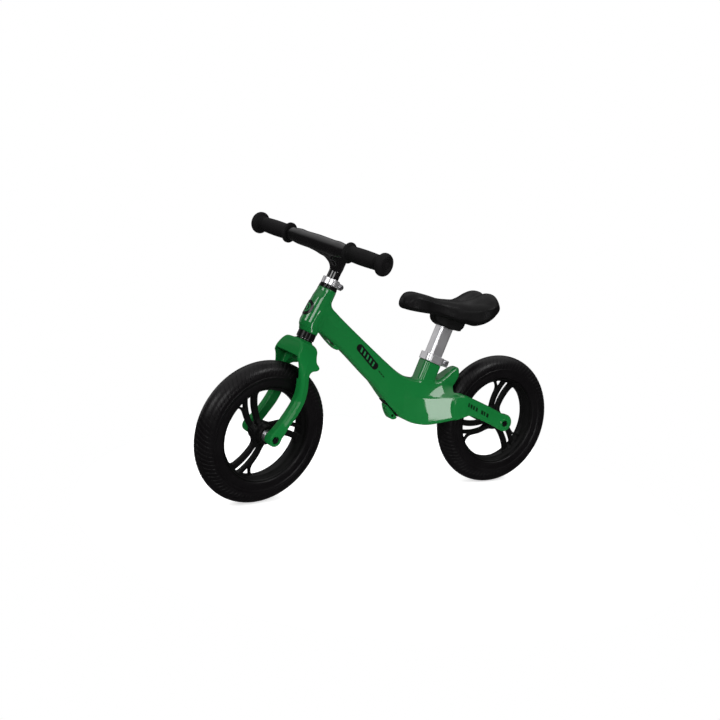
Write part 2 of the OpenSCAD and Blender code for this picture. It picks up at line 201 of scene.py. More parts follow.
def surface(field, low, high, step):
    """Points, quads and normals of field = 0: surface nets whose points are pulled onto the exact surface."""
    low, high = np.array(low, float), np.array(high, float)
    n = np.ceil((high - low) / step).astype(int) + 1
    axes = [low[i] + step * np.arange(n[i]) for i in range(3)]
    d = field(*np.meshgrid(*axes, indexing="ij"))
    inside = d < 0
    cell = tuple(n - 1)
    total = np.zeros(cell + (3,))
    count = np.zeros(cell)
    for axis in range(3):
        others = [i for i in range(3) if i != axis]
        for da in (0, 1):
            for db in (0, 1):
                shift = [0, 0, 0]
                shift[others[0]], shift[others[1]] = da, db
                first = tuple(slice(s, s + c) for s, c in zip(shift, cell))
                shift[axis] = 1
                second = tuple(slice(s, s + c) for s, c in zip(shift, cell))
                cross = inside[first] != inside[second]
                gap = np.where(cross, d[first] - d[second], 1.0)
                t = np.where(cross, d[first] / gap, 0.0)
                total[..., axis] += t
                total[..., others[0]] += np.where(cross, da, 0)
                total[..., others[1]] += np.where(cross, db, 0)
                count += cross
    used = count > 0
    index = np.full(cell, -1)
    index[used] = np.arange(used.sum())
    where = np.stack(np.nonzero(used), 1)
    points = low + step * (where + total[used] / count[used][:, None])
    quads = []
    for axis in range(3):
        b, c = (axis + 1) % 3, (axis + 2) % 3
        first, second = [slice(1, -1)] * 3, [slice(1, -1)] * 3
        first[axis], second[axis] = slice(0, -1), slice(1, None)
        here, there = inside[tuple(first)], inside[tuple(second)]
        spot = np.stack(np.nonzero(here != there), 1)
        spot[:, b] += 1
        spot[:, c] += 1
        flip = there[here != there]
        ring = []
        for db, dc in ((0, 0), (1, 0), (1, 1), (0, 1)):
            q = spot.copy()
            q[:, b] -= 1 - db
            q[:, c] -= 1 - dc
            ring.append(index[tuple(q.T)])
        quad = np.stack(ring, 1)
        quad[flip] = quad[flip][:, ::-1]
        quads.append(quad)
    quads = np.concatenate(quads)

    def slope(p, h):
        x, y, z = p.T
        return np.stack([field(x + h, y, z) - field(x - h, y, z), field(x, y + h, z) - field(x, y - h, z),
                         field(x, y, z + h) - field(x, y, z - h)], 1) / (2 * h)

    for _ in range(2):
        g = slope(points, PULL_REACH * step)
        size = np.maximum((g * g).sum(1), LEAST_SLOPE)
        move = g * (field(*points.T) / size)[:, None]
        points = points - np.clip(move, -LONGEST_PULL * step, LONGEST_PULL * step)
    g = slope(points, NORMAL_REACH * step)
    normals = g / np.maximum(np.linalg.norm(g, axis=1), TINY)[:, None]
    return points, quads, normals


# ---------------------------------------------------------------- Blender meshes

def make(name, points, faces, body, m=None, normals=None):
    """A mesh piece that rides on a body. points are in the local frame m, or in the row frame without m."""
    points = np.array(points, float)
    if m is not None:
        points = to_row(points, m)
    mesh = bpy.data.meshes.new(name)
    mesh.from_pydata(points.tolist(), [], np.asarray(faces).tolist())
    mesh.validate()
    mesh.update()
    mesh.polygons.foreach_set("use_smooth", [True] * len(mesh.polygons))
    if normals is not None:
        mesh.normals_split_custom_set_from_vertices((normals @ (m[:3, :3] / MM).T).tolist())
    obj = bpy.data.objects.new(name, mesh)
    bpy.context.scene.collection.objects.link(obj)
    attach(obj, body)
    return obj


def ring_quads(rows, n):
    """Quads over a closed ring of rows, each a closed loop of n points."""
    quads = []
    for i in range(rows):
        j = (i + 1) % rows
        for k in range(n):
            l = (k + 1) % n
            quads.append((i * n + k, j * n + k, j * n + l, i * n + l))
    return quads


def revolve(profile, segments):
    """Points and quads of a closed profile of (radius, along) turned about the local y axis."""
    n = len(profile)
    a = np.linspace(0, 2 * math.pi, segments, endpoint=False)
    points = np.stack([np.outer(np.cos(a), profile[:, 0]), np.broadcast_to(profile[:, 1], (segments, n)),
                       np.outer(np.sin(a), profile[:, 0])], 2).reshape(-1, 3)
    return points, [(q[0], q[3], q[2], q[1]) for q in ring_quads(segments, n)]


# ---------------------------------------------------------------- materials

NOISE_LOW, NOISE_HIGH = 0.3, 0.7  # the range in which a noise texture's values mostly lie


def new_material(name, color, roughness, metallic=0.0, coat=0.0, shine=0.5):
    mat = bpy.data.materials.new(name)
    mat.use_nodes = True
    shader = mat.node_tree.nodes["Principled BSDF"]
    shader.inputs["Base Color"].default_value = (*color, 1)
    shader.inputs["Roughness"].default_value = roughness
    shader.inputs["Metallic"].default_value = metallic
    shader.inputs["Specular IOR Level"].default_value = shine
    shader.inputs["Coat Weight"].default_value = coat
    shader.inputs["Coat Roughness"].default_value = 0.04
    return mat, mat.node_tree.nodes, mat.node_tree.links, shader


def texture(nodes, links, kind, scale, stretch=(1, 1, 1), detail=3.0):
    """A noise or Voronoi texture in the piece's own metres. Returns its value socket."""
    place_node = nodes.new("ShaderNodeTexCoord")
    mapping = nodes.new("ShaderNodeMapping")
    mapping.inputs["Scale"].default_value = stretch
    links.new(place_node.outputs["Object"], mapping.inputs["Vector"])
    node = nodes.new("ShaderNodeTexNoise" if kind == "noise" else "ShaderNodeTexVoronoi")
    node.inputs["Scale"].default_value = scale
    links.new(mapping.outputs["Vector"], node.inputs["Vector"])
    if kind == "noise":
        node.inputs["Detail"].default_value = detail
        return node.outputs["Fac"]
    return node.outputs["Distance"]


def vary_color(nodes, links, shader, value, dark, light):
    ramp = nodes.new("ShaderNodeValToRGB")
    ramp.color_ramp.elements[0].position = NOISE_LOW
    ramp.color_ramp.elements[1].position = NOISE_HIGH
    ramp.color_ramp.elements[0].color = (*dark, 1)
    ramp.color_ramp.elements[1].color = (*light, 1)
    links.new(value, ramp.inputs["Fac"])
    links.new(ramp.outputs["Color"], shader.inputs["Base Color"])


def vary_roughness(nodes, links, shader, value, low, high):
    spread = nodes.new("ShaderNodeMapRange")
    spread.inputs["From Min"].default_value = NOISE_LOW
    spread.inputs["From Max"].default_value = NOISE_HIGH
    spread.inputs["To Min"].default_value = low
    spread.inputs["To Max"].default_value = high
    links.new(value, spread.inputs["Value"])
    links.new(spread.outputs["Result"], shader.inputs["Roughness"])


def add_bump(nodes, links, shader, value, height, strength=1.0, before=None):
    bump = nodes.new("ShaderNodeBump")
    bump.inputs["Distance"].default_value = height
    bump.inputs["Strength"].default_value = strength
    links.new(value, bump.inputs["Height"])
    if before is not None:
        links.new(before, bump.inputs["Normal"])
    links.new(bump.outputs["Normal"], shader.inputs["Normal"])
    return bump.outputs["Normal"]


def gloss_paint(name, dark, light, coat=0.8, shine=0.05):
    """Enamel on a casting: the casting's slow waves, and a faint orange peel."""
    mat, nodes, links, shader = new_material(name, light, 0.32, coat=coat, shine=shine)
    vary_color(nodes, links, shader, texture(nodes, links, "noise", 9), dark, light)
    waves = add_bump(nodes, links, shader, texture(nodes, links, "noise", 40, detail=1.0), 0.0002, 0.1)
    add_bump(nodes, links, shader, texture(nodes, links, "noise", 900, detail=1.0), 0.00002, 0.25, waves)
    return mat


def rough_black(name, dark, light, rough, grain, height, shine=0.1):
    """Rubber, foam or moulded plastic: a fine grain with uneven sheen."""
    mat, nodes, links, shader = new_material(name, light, rough[1], shine=shine)
    vary_color(nodes, links, shader, texture(nodes, links, "noise", 14), dark, light)
    vary_roughness(nodes, links, shader, texture(nodes, links, "noise", 60), *rough)
    add_bump(nodes, links, shader, texture(nodes, links, "noise", grain), height, 0.5)
    return mat


def leather_black(name):
    """Moulded saddle skin with a pebbled grain."""
    dark, light = (0.003, 0.003, 0.003), (0.005, 0.0045, 0.005)
    mat, nodes, links, shader = new_material(name, light, 0.42, shine=0.13)
    vary_color(nodes, links, shader, texture(nodes, links, "noise", 12), dark, light)
    vary_roughness(nodes, links, shader, texture(nodes, links, "noise", 40), 0.34, 0.5)
    pebbles = add_bump(nodes, links, shader, texture(nodes, links, "voronoi", 900), 0.00012, 0.35)
    add_bump(nodes, links, shader, texture(nodes, links, "noise", 2500), 0.00004, 0.4, pebbles)
    return mat


def brushed(name, dark, light, rough, stretch=(1, 1, 1), metallic=1.0):
    """Bare metal with fine drawn lines."""
    mat, nodes, links, shader = new_material(name, light, rough[1], metallic=metallic)
    lines = texture(nodes, links, "noise", 220, stretch, 2.0)
    vary_color(nodes, links, shader, texture(nodes, links, "noise", 25), dark, light)
    vary_roughness(nodes, links, shader, lines, *rough)
    add_bump(nodes, links, shader, lines, 0.00001, 0.2)
    return mat


def gray(v):
    return (v, v, v)


DEEP_GREEN, BRIGHT_GREEN = (0.0048, 0.138, 0.027), (0.0062, 0.156, 0.032)
ALONG_POST = (1, 1, 0.04)  # the post's lines run along it
FORK_GREEN = gloss_paint("fork_enamel", DEEP_GREEN, BRIGHT_GREEN, coat=0.12)
GREEN = gloss_paint("green_enamel", DEEP_GREEN, BRIGHT_GREEN)
BLACK_GLOSS = gloss_paint("black_enamel", gray(0.004), (0.006, 0.005, 0.006))
GRIP = rough_black("grip_rubber", gray(0.005), (0.008, 0.007, 0.008), (0.55, 0.7),
                   1600, 0.0001)
TYRE = rough_black("tyre_foam", (0.0025, 0.002, 0.0025), (0.004, 0.0035, 0.004), (0.28, 0.38),
                   1300, 0.00004, shine=0.18)
RIM = rough_black("rim_plastic", gray(0.003), gray(0.005), (0.32, 0.46), 1100, 0.00008)
PLASTIC = rough_black("base_plastic", gray(0.004), gray(0.006), (0.4, 0.55), 1400, 0.0001)
SADDLE = leather_black("saddle_skin")
SILVER = brushed("silver_alloy", (0.60, 0.59, 0.61), (0.74, 0.73, 0.75), (0.30, 0.34),
                 ALONG_POST, metallic=0.85)
STEEL = brushed("bright_steel", (0.42, 0.42, 0.44), (0.55, 0.55, 0.57), (0.25, 0.4))
DARK_STEEL = brushed("dark_steel", (0.035, 0.035, 0.038), (0.07, 0.07, 0.075), (0.3, 0.45))
BLACK_METAL = gloss_paint("black_ring_paint", gray(0.004), gray(0.006), coat=0.1)
BADGE_BLACK = gloss_paint("badge_black", gray(0.003), gray(0.005), coat=0.2)
PRINT_GREEN = gloss_paint("print_dark_green", (0.002, 0.014, 0.004), (0.003, 0.018, 0.006),
                          coat=0.3)
PRINT_LIGHT = gloss_paint("print_light_green", (0.012, 0.17, 0.045), (0.016, 0.20, 0.055),
                          coat=0.3)


def dress(obj, material):
    obj.data.materials.clear()
    obj.data.materials.append(material)


def cast(name, body, m, field, low, high, step, material):
    """A piece made from a distance field in the local frame m, within the box from low to high."""
    points, quads, normals = surface(field, low, high, step)
    obj = make(name, points, quads, body, m, normals)
    dress(obj, material)
    return obj


# ---------------------------------------------------------------- cast frame

def tilted(x, z, origin, angle):
    """How far ahead of an axis leaning back by angle, and how far up it, a point of the side view is."""
    dx, dz = x - origin[0], z - origin[1]
    return dx * math.cos(angle) + dz * math.sin(angle), dz * math.cos(angle) - dx * math.sin(angle)


HEAD_FOOT = between(HEAD, BIKE)[[0, 2], 3]
SEAT_TILT = math.atan2(-SEAT_UP[0], SEAT_UP[2])
SEAT_FOOT = (SEAT_TOP[0], SEAT_TOP[2])
HEAD_LOW, HEAD_HIGH = 219.0, 314.0
HEAD_BORE_R, HEAD_BORE_LOW, HEAD_BORE_HIGH = 15.2, 218.0, 316.0  # narrower than the CAD's, for a thicker wall
STAY_IN, STAY_OUT, LEG_OUT = 31.0, 47.0, 52.0
STAY_BOSS_R, LEG_BOSS_R = 12.5, 13.6
STAY_BOSS_IN, STAY_BOSS_OUT = 31.8, 48.2
TYRE_GAP_R = 157.0
RECESS_R, RECESS_DEPTH = 7.5, 4.0
POST_HALF, POST_R = (16.8, 14.3), 6.3
SOCKET_HALF, SOCKET_R, SOCKET_L, SOCKET_DEPTH = (21.75, 18.75), 10.5, 68.0, 108.0
BEAM_TOP, BEAM_DOWN = (291.0, 274.5), (0.621, -0.784)  # a point on the beam's top edge, and the way down
BEAM_PINCH = 5.0  # how much narrower the head end of the beam is at its underside, on each side

BODY_SIDE = Outline([
    [450, 404], [416, 373.5], [291, 274.5], [265, 259], [241, 250.5], [222, 248], [178, 246], [163, 249],
    [148, 259], [134, 270], [122, 274.5], [113, 269], [117, 242], [122, 228], [101, 211], [98, 172],
    [117, 167], [155, 158], [190, 151], [213, 150], [238, 155], [266, 170], [307.5, 210.5], [337.5, 245.5],
    [348.5, 253], [427, 325], [474, 353], [492, 372], [476, 412]])
STAY_SIDE = Outline([
    [98, 172], [117, 167], [140, 161], [150, 198], [136, 217], [122, 219], [104, 213], [50, 191], [4, 169.5]]
    + [[-1 + 20 * math.cos(math.radians(a)), 149 + 20 * math.sin(math.radians(a))]
       for a in range(100, 281, 18)]
    + [[10, 133.5], [52, 153]])
# Along the bike: half the width at the crease, half the width at the top, and the height of that top.
BODY_X = [90, 120, 165, 215, 260, 320, 442, 466, 520]
BODY_HALF = [47, 47, 37.5, 27.5, 21, 18.5, 18.5, 18, 18]
SHIELD_X = [90, 120, 135, 165, 215, 260, 320, 442, 466, 520]
SHIELD_HALF = [17, 17.5, 18.5, 19, 19, 18.5, 18.5, 18.5, 18, 18]
SHIELD_Z = [214, 224, 234, 249, 249, 262, 280, 280, 280, 280]
SHIELD_TIP_X, SHIELD_TIP_IN, SHIELD_TIP_Z = [135, 170], [5.5, 0], (240, 272)
# The height of the crease, and how fast the flank widens or narrows below it.
CREASE_X, CREASE_Z = [98, 120, 150, 200], [208, 216, 213, 211]
FLARE_X, FLARE = [100, 130, 200, 235], [0.0, -0.07, -0.07, 0.0]
# The head tube's nose: how far its round front stands out at each height.
NOSE_R = 19.5
NOSE_S, NOSE_F = [219, 225, 230, 238, 265, 292, 300, 306], [0, 2, 5.3, 7, 5.1, 2.9, 1.2, 0]


def frame_field(x, y, z):
    f, s = tilted(x, z, HEAD_FOOT, HEAD_TILT)
    u, w = tilted(x, z, SEAT_FOOT, SEAT_TILT)
    side, from_axle = np.abs(y), np.hypot(x, z - WHEEL_R)
    # The flanks lean in above the crease, and a little out below it.
    wide, narrow = np.interp(x, BODY_X, BODY_HALF), np.interp(x, SHIELD_X, SHIELD_HALF)
    crease = np.interp(x, CREASE_X, CREASE_Z)
    climb = ramp(z, crease, np.interp(x, SHIELD_X, SHIELD_Z))
    upper = (wide - narrow) * (1 - (1 - climb) ** 1.5)
    upper += np.interp(x, SHIELD_TIP_X, SHIELD_TIP_IN) * ramp(z, *SHIELD_TIP_Z)
    lower = np.interp(x, FLARE_X, FLARE) * np.maximum(crease - z, 0)
    depth = BEAM_DOWN[0] * (x - BEAM_TOP[0]) + BEAM_DOWN[1] * (z - BEAM_TOP[1])
    lower += BEAM_PINCH * ramp(depth, 20, 50) * ramp(x, 300, 350)
    body = rounded_pair(BODY_SIDE(x, z), side - (wide - upper - lower), 7.0)
    d = smooth_min(body, rounded_pair(STAY_SIDE(x, z), band(side, STAY_IN, STAY_OUT), 4.5), 5.0)
    nose = np.interp(s, NOSE_S, NOSE_F)
    head = rounded_pair(np.hypot(f - np.clip(f, 0, nose), y) - NOSE_R, band(s, HEAD_LOW, HEAD_HIGH), 2.0)
    d = smooth_min(d, head, 4.0 + 9.0 * ramp(s, 250, 280) * ramp(f, -6, -16))
    socket = rounded_pair(rounded_rect(u, y, SOCKET_HALF, SOCKET_R), band(w, -SOCKET_L, 0), 1.5)
    d = smooth_min(d, socket, 4.0)
    # Room for the rear tyre, the headset, the seat post and the axle screws.
    d = smooth_max(d, -rounded_pair(from_axle - TYRE_GAP_R, side - STAY_IN, 3.0), 3.0)
    bore = rounded_pair(np.hypot(f, y) - HEAD_BORE_R, band(s, HEAD_BORE_LOW, HEAD_BORE_HIGH), 0.5)
    d = np.maximum(d, -bore)
    d = np.maximum(d, -np.maximum(rounded_rect(u, y, POST_HALF, POST_R), -w - SOCKET_DEPTH))
    boss = rounded_pair(from_axle - STAY_BOSS_R, band(side, STAY_BOSS_IN, STAY_BOSS_OUT), 1.6)
    d = smooth_min(d, boss, 1.5)
    recess = np.maximum(from_axle - RECESS_R, STAY_OUT - RECESS_DEPTH - side)
    return smooth_max(d, -recess, 1.0)


def cast_frame():
    obj = cast("frame_shell", "frame", BIKE, frame_field, (-22, -54, 124), (528, 54, 446), 2.0, GREEN)
    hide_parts("frame_casting")
    return obj


TAB_HALF = 9.0
TAB_SIDE = Outline([[476, 370], [464, 347], [429, 314], [419, 314], [420, 326], [442, 354]], 6, 0.5)
TAB_SLOT = Outline([[459, 347], [457, 342.5], [434, 321.5], [431, 325]], 6, 0.5)


def tab_field(x, y, z):
    outer = rounded_pair(TAB_SIDE(x, z), np.abs(y) - TAB_HALF, 2.5)
    return smooth_max(outer, -TAB_SLOT(x, z), 1.0)


def beam_tab():
    cast("beam_tab", "frame", BIKE, tab_field, (412, -12, 306), (482, 12, 376), 0.9, GREEN)


# ---------------------------------------------------------------- fork

LEG_SIDE = Outline([
    [-28, 60], [-31, 88], [-27, 114], [-15, 141], [-19, 151], [-33, 156], [-36, 164], [-18, 172], [-20, 202],
    [22, 202], [28, 197], [30, 163], [22, 158], [8, 136], [-4, 110], [-7, 88], [-3, 60], [5, 30], [15, 8],
    [16, 0], [13, -9], [2, -14], [-9, -9], [-13, 4], [-18, 30]])
ARCH = Outline([
    [0, 202], [24, 202], [35, 190], [43, 170], [50, 145], [52, 100], [52, -20], [31, -20], [31, 120],
    [28.5, 151], [19, 163], [0, 165.5], [-19, 163], [-28.5, 151], [-31, 120], [-31, -20], [-52, -20],
    [-52, 100], [-50, 145], [-43, 170], [-35, 190], [-24, 202]])
RIDGE_S, RIDGE_F = [0, 13, 35, 60, 88, 112, 140, 170], [2, -4, -9, -15, -18, -11, 1, 4]
RIDGE_SLOPE = 0.30
HOLLOW_HALF, HOLLOW_LOW, HOLLOW_HIGH, HOLLOW_BACK = 38.5, 128.0, 168.0, -2.0
CROWN_R, CROWN_LOW, CROWN_HIGH = 19.0, 178.0, 202.0
STEERER_BORE_R, STEERER_BORE_LOW = 14.5, 150.0


def fork_field(f, y, s):
    side, from_axle = np.abs(y), np.hypot(f - FORK_OFFSET, s)
    # A ridge runs down the outside of each leg.
    ridge = ramp(side, 36, 44) * ramp(s, 16, 36) * ramp(s, 176, 146)
    out = y + np.sign(y) * RIDGE_SLOPE * np.abs(f - np.interp(s, RIDGE_S, RIDGE_F)) * ridge
    d = rounded_pair(LEG_SIDE(f, s), ARCH(out, s), 4.5)
    d = smooth_min(d, rounded_pair(from_axle - LEG_BOSS_R, band(side, STAY_IN, LEG_OUT), 2.0), 3.0)
    # The crown is a visor in front of the tyre, hollow between the legs.
    reach = np.maximum(np.maximum(s - HOLLOW_HIGH, HOLLOW_LOW - s), HOLLOW_BACK - f)
    d = smooth_max(d, -rounded_pair(side - HOLLOW_HALF, reach, 4.0), 1.2)
    d = smooth_min(d, rounded_pair(np.hypot(f, y) - CROWN_R, band(s, CROWN_LOW, CROWN_HIGH), 1.5), 3.0)
    d = np.maximum(d, -np.maximum(np.hypot(f, y) - STEERER_BORE_R, STEERER_BORE_LOW - s))
    recess = np.maximum(from_axle - RECESS_R, LEG_OUT - RECESS_DEPTH - side)
    return smooth_max(d, -recess, 1.0)


def cast_fork():
    obj = cast("fork_shell", "fork", FORK, fork_field, (-42, -58, -20), (38, 58, 208), 1.6, FORK_GREEN)
    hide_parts("fork_casting")


# ---------------------------------------------------------------- handlebar and grips

GRIP_START, GRIP_L = 79.0, 99.0
STEM_LOW, STEM_HIGH, STEM_R = 240, 362, 12.6
BAR_END, BAR_CORE_R = 158, 11.0


def bar_field(f, y, s):
    side = np.abs(y)
    stem = rod(f, y, s, (0, 0, STEM_LOW), (0, 0, STEM_HIGH), STEM_R, STEM_R)
    flare = rod(f, y, s, (1, 0, 361), (7, 0, 376), 12.4, 15.5)
    neck = rod(f, y * 0.8, s, (8, 0, 373), (66, 0, 385), 14.0, 12.0)
    wings = rod(f, side, s, (52, 12, 380), (BAR_REACH - 2, 52, BAR_S), 11.0, 12.0)
    bar = rod(f, side, s, (BAR_REACH, 0, BAR_S), (BAR_REACH, GRIP_START, BAR_S), 15.5, 13.4)
    core = rod(f, side, s, (BAR_REACH, 0, BAR_S), (BAR_REACH, BAR_END, BAR_S), BAR_CORE_R, BAR_CORE_R)
    d = smooth_min(np.maximum(stem, STEM_LOW - s), flare, 4.0)
    d = smooth_min(d, neck, 9.0)
    d = smooth_min(d, wings, 9.0)
    d = smooth_min(d, np.maximum(bar, side - GRIP_START + 0.2), 9.0)
    return np.minimum(d, core)


def handlebar():
    obj = cast("handlebar_shell", "bar", BAR, bar_field, (-22, -174, 234), (104, 174, 408), 1.7, BLACK_GLOSS)
    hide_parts("handlebar")


CORE_HOLE_R, PLUG_START = 11.1, 92
WAIST_STEPS, WAIST_L = 24, 62


def grip_profile():
    """From the inner flange along the outside to the middle of the end, then back inside. [radius, along]"""
    g = [[CORE_HOLE_R, 0], [17.5, 0], [19.4, 0.6], [20.4, 2], [20.4, 4], [19.2, 5.8], [17, 6.6], [15.4, 7.4]]
    for k in range(WAIST_STEPS):
        t = k / (WAIST_STEPS - 1)
        g.append([14.9 + 0.8 * math.sin(math.pi * t), 9 + WAIST_L * t])
    for k in range(3):
        base = 73.5 + 3.4 * k
        g += [[15.1, base], [14.4, base + 0.5], [14.4, base + 1.5], [15.1, base + 2.0]]
    g += [[16.7, 83.6], [19.6, 84.4], [21.4, 85.9], [22.0, 88.0], [22.0, 90.6], [21.5, 93.2], [20.2, 95.5],
          [18.0, 97.2]]
    for ring_r in (16.4, 12.3, 8.2):
        g += [[ring_r, 97.9], [ring_r - 0.6, 97.3], [ring_r - 1.6, 97.3], [ring_r - 2.2, 98.2]]
    g += [[3.5, 98.8], [0.05, GRIP_L], [0.05, PLUG_START], [CORE_HOLE_R, PLUG_START]]
    return np.array(g)


def grips():
    profile = grip_profile()
    for name, node, sign in (("grip_left", "left_grip", 1), ("grip_right", "right_grip", -1)):
        shape = profile.copy()
        shape[:, 1] = sign * (GRIP_START + shape[:, 1])
        points, faces = revolve(shape, 80)
        if sign < 0:
            faces = [f[::-1] for f in faces]
        obj = make(name, points + [BAR_REACH, 0, BAR_S], faces, "bar", BAR)
        obj.data.set_sharp_from_angle(angle=math.radians(38))
        dress(obj, GRIP)
        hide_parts(node)


# ---------------------------------------------------------------- wheels

RIM_OUT, RIM_IN, RIM_HALF = 98.0, 89.5, 21.0
HUB_R, HUB_HALF, HUB_BORE_R = 22.0, 21.0, 9.0
BEARING_R, BEARING_DEPTH = 13.1, 8.0
SPOKE_START, SPOKE_SWIRL = 16, math.radians(21)
BLADE_T, BLADE_SPREAD = 11.5, 7.2
SLOT_HALF, SLOT_END, SLOT_START = 5.4, 91.5, 21.0
SWIRL_WIDTH = 0.96  # the width across a swirled blade over its width along the wheel's turn
BLADE_HALF, HUB_PROUD = 4.8, 4.2  # half a blade's thickness, and how much prouder it stands at the hub
HOLE_SLOPE = (0.5, 0.9)  # how the triangular holes open outwards
HOLE_START, HOLE_END, HOLE_ANGLE = 72.5, 90.0, math.radians(16)
GUSSET = 3.6  # how much wall stands round each triangular hole
THIRD = 2 * math.pi / 3
BARREL_Y = [0, 7, 11, 15.5, 21]
BARREL_R = [RIM_IN, RIM_IN, RIM_IN + 2.5, RIM_IN + 6.0, RIM_IN + 6.6]


def nearest_third(angle):
    """The angle to the nearest of three directions that are a third of a turn apart."""
    return (angle + THIRD / 2) % THIRD - THIRD / 2


def rim_field(x, y, z):
    """A rim whose first slot ends at angle 0 in the wheel's own side view."""
    r, phi, side = np.hypot(x, z), np.arctan2(z, x), np.abs(y)
    back = SPOKE_SWIRL * (1 - (r - SPOKE_START) / (RIM_IN - SPOKE_START))
    across = np.abs(r * np.sin(nearest_third(phi + back))) * SWIRL_WIDTH
    share = ramp(r, SLOT_START, SLOT_END)
    # Twin blades that spread outwards, the hub's disc, the ring, and a gusset round each triangular hole.
    web = smooth_min(across - BLADE_SPREAD * share ** 0.6 - BLADE_T, r - HUB_R - 1.5, 6.0)
    web = smooth_min(web, RIM_IN + 1.0 - r, 11.0)
    near = nearest_third(phi + HOLE_ANGLE)
    hole = np.abs(r * np.sin(near)) * HOLE_SLOPE[1] - (r * np.cos(near) - HOLE_START) * HOLE_SLOPE[0]
    hole = np.maximum(hole, r * np.cos(near) - HOLE_END)
    web = smooth_min(web, hole - GUSSET, 9.0)
    slot = rounded_pair(across - SLOT_HALF * share ** 0.25, np.maximum(r - SLOT_END, SLOT_START - r), 2.5)
    # Blades are rounded across, and stand prouder near the hub.
    web = rounded_pair(web, side - BLADE_HALF - HUB_PROUD * ramp(r, 34, 20), 2.2)
    web = smooth_max(web, r - RIM_OUT + 1, 1.0)
    wall = np.interp(side, BARREL_Y, BARREL_R)
    barrel = rounded_pair(np.maximum(wall - r, r - RIM_OUT), side - RIM_HALF, 1.6)
    d = smooth_min(web, barrel, 3.0)
    d = smooth_max(d, -np.maximum(np.minimum(slot, hole), side - 12), 1.2)
    hub = rounded_pair(r - HUB_R + 0.12 * side, side - HUB_HALF, 2.0)
    d = smooth_min(d, hub, 3.0)
    d = smooth_max(d, -np.maximum(r - BEARING_R, HUB_HALF - BEARING_DEPTH - side), 0.6)
    return np.maximum(d, HUB_BORE_R - r)


TREAD_AT, TREAD_R = 125, 23  # the tread's section is half a circle of TREAD_R about this radius
TREAD_SEGMENTS = 24
TREAD_COUNT, TREAD_SHIFT, GROOVE_DEPTH = 88, 2.1, 0.4
# Over one groove and the rib beside it: the share of the way, and how deep the groove is there.
TREAD_STEPS = ((0.0, 1.0), (0.12, 1.0), (0.17, 0.0), (0.23, 0.0), (0.55, 0.0), (0.89, 0.0), (0.95, 0.0))


def tyre_profile():
    """Half of the section from the bead to the crown: [radius, half width, share of the tread's grooves]."""
    side = [[98.2, 18.6], [98.6, 19.8], [99.6, 21.0], [101.2, 21.8], [103.2, 22.1], [108, 22.3], [112, 22.1],
            [114.2, 21.7], [115.6, 22.0], [117, 22.7], [118.2, 23.1], [119.4, 23.2], [120.4, 22.9],
            [121.2, 22.5]]
    side = [[r, y, 0] for r, y in side] + [[122, 22.7, 0.15], [122.8, 22.9, 0.6]]
    crown = []
    for k in range(TREAD_SEGMENTS + 1):
        a = math.radians(84 * (1 - k / TREAD_SEGMENTS))
        share = 1.0 if k < TREAD_SEGMENTS - 1 else 0.45
        crown.append([TREAD_AT + TREAD_R * math.cos(a), TREAD_R * math.sin(a), share])
    return np.array(side + crown)


def tyre_mesh():
    """The tyre as a grid whose lines run along its slanted grooves."""
    half = tyre_profile()
    full = np.concatenate([half, (half * [1, -1, 1])[-2::-1]])
    lean = TREAD_SHIFT * np.arcsin(ramp(full[:, 0], 122, WHEEL_R)) / (math.pi / 2)
    out = full[:, :2] - [TREAD_AT, 0]
    out /= np.linalg.norm(out, axis=1)[:, None]
    points = []
    for k in range(TREAD_COUNT):
        for step, depth in TREAD_STEPS:
            a = 2 * math.pi * (k + step + lean) / TREAD_COUNT
            cut = GROOVE_DEPTH * depth * full[:, 2]
            r = full[:, 0] - out[:, 0] * cut
            y = full[:, 1] - out[:, 1] * cut
            points.append(np.stack([r * np.cos(a), y, r * np.sin(a)], 1))
    return np.concatenate(points), ring_quads(len(points), len(full))


REAR_SLOT, FRONT_SLOT = math.radians(110), math.radians(65)  # where a slot points in each wheel's side view


def wheels():
    rim_points, rim_quads, rim_normals = surface(rim_field, (-100, -23, -100), (100, 23, 100), 1.3)
    tyre_points, tyre_faces = tyre_mesh()
    for end, m, a in (("rear", REAR_WHEEL, REAR_SLOT), ("front", FRONT_WHEEL, FRONT_SLOT - HEAD_TILT)):
        spin = np.array([[math.cos(a), 0, -math.sin(a)], [0, 1, 0], [math.sin(a), 0, math.cos(a)]])
        rim = make(end + "_rim_cast", rim_points @ spin.T, rim_quads, end + "_wheel", m, rim_normals @ spin.T)
        dress(rim, RIM)
        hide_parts(end + "_rim")
        tyre = make(end + "_tyre_tread", tyre_points, tyre_faces, end + "_wheel", m)
        tyre.data.set_sharp_from_angle(angle=math.radians(34))
        dress(tyre, TYRE)
        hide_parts(end + "_tyre")


# ---------------------------------------------------------------- saddle

SADDLE_SIDE = Outline([
    [280, 412], [278, 424], [267, 433.5], [250, 438.5], [222, 433], [190, 424.5], [160, 421.5], [133, 421],
    [112, 424.5], [92, 431.5], [76, 440], [60, 438.5], [50, 429], [45.5, 416], [51, 406], [62, 397],
    [76, 388], [92, 379], [107, 374], [118, 373], [130, 377.5], [150, 384], [200, 390.5], [262, 398],
    [276, 402.5]])
SADDLE_PLAN = Outline([
    [281, 0], [280, 9], [274, 17], [261, 24], [240, 27], [205, 27], [172, 31], [145, 41], [125, 54],
    [105, 65], [86, 69], [68, 65], [53, 51], [45, 30], [48, 10], [52, 0], [48, -10], [45, -30], [53, -51],
    [68, -65], [86, -69], [105, -65], [125, -54], [145, -41], [172, -31], [205, -27], [240, -27],
    [261, -24], [274, -17], [280, -9]])
